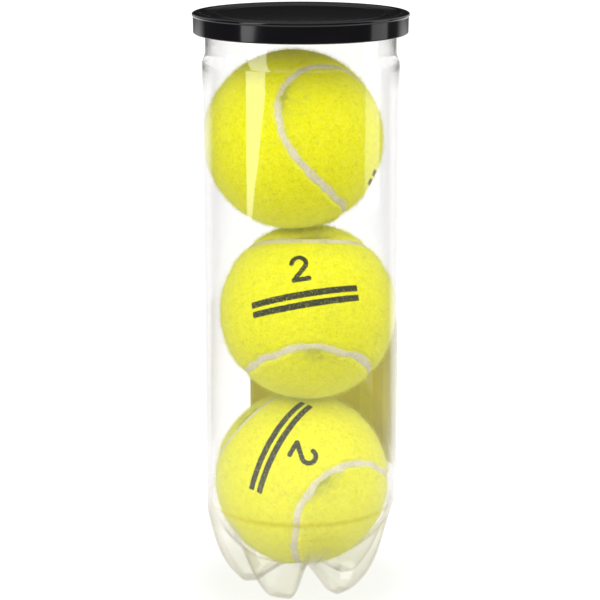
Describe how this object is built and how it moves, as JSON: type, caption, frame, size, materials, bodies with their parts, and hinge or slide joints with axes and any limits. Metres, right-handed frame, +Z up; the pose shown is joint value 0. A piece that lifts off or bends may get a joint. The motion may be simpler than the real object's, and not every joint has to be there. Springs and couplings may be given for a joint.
{
  "type": "tennis ball can",
  "caption": "Clear footed can of tennis balls with a ring-pull metal end under a push-on lid; the lid, ring pull, panel and balls come out.",
  "frame": {"origin": "middle of the circle of the five feet, at the level that they stand on", "axes": "+Z up along the can's axis; -Y is the front seen in the picture, +X is to its right"},
  "size_m": [0.0792, 0.0792, 0.2206],
  "materials": {
    "clear_pet": "clear blown PET, about 0.45 mm",
    "black_plastic": "moulded polyethylene, glossy black",
    "end_metal": "lacquered can end sheet",
    "compound": "seam sealing compound",
    "label": "printed film sticker, plain",
    "core_rubber": "moulded rubber",
    "felt": "fluorescent yellow needle felt",
    "seam_cement": "pale vulcanised cement"
  },
  "bodies": {
    "can": {"can_body": "clear_pet", "rear_label": "label", "end_rim": "end_metal", "seam_compound": "compound"},
    "ball_top": {"top_ball_core_a": "core_rubber", "top_ball_core_b": "core_rubber", "top_ball_felt_a": "felt", "top_ball_felt_b": "felt", "top_ball_seam": "seam_cement"},
    "ball_middle": {"middle_ball_core_a": "core_rubber", "middle_ball_core_b": "core_rubber", "middle_ball_felt_a": "felt", "middle_ball_felt_b": "felt", "middle_ball_seam": "seam_cement"},
    "ball_bottom": {"bottom_ball_core_a": "core_rubber", "bottom_ball_core_b": "core_rubber", "bottom_ball_felt_a": "felt", "bottom_ball_felt_b": "felt", "bottom_ball_seam": "seam_cement"},
    "seal": {"tear_panel": "end_metal", "tab_tongue": "end_metal"},
    "ring": {"ring_pull": "end_metal"},
    "lid": {"snap_lid": "black_plastic"}
  },
  "joints": [
    {"name": "ball_top_lift", "type": "slide", "parent": "can", "child": "ball_top", "axis": [0.0654, 0, 0.9979], "range_m": [0, 0.22]},
    {"name": "ball_middle_lift", "type": "slide", "parent": "can", "child": "ball_middle", "axis": [-0.0255, 0, 0.9997], "range_m": [0, 0.217]},
    {"name": "ball_bottom_lift", "type": "slide", "parent": "can", "child": "ball_bottom", "axis": [-0.0023, 0, 1], "range_m": [0, 0.2135]},
    {"name": "seal_lift", "type": "slide", "parent": "ball_top", "child": "seal", "axis": [0, 0, 1], "range_m": [0, 0.04]},
    {"name": "lid_lift", "type": "slide", "parent": "seal", "child": "lid", "axis": [0, 0, 1], "range_m": [0, 0.05]},
    {"name": "ring_pull_lever", "type": "hinge", "parent": "seal", "child": "ring", "pos_m": [0, 0.0291, 0.21615], "axis": [-1, 0, 0], "range_deg": [0, 90]}
  ],
  "couplings": [
    {"joint": "ball_middle_lift", "follows": "ball_top_lift", "ratio": 0.985},
    {"joint": "ball_bottom_lift", "follows": "ball_top_lift", "ratio": 0.97},
    {"joint": "ring_pull_lever", "follows": "lid_lift", "rad_per_m": 31.4}
  ]
}
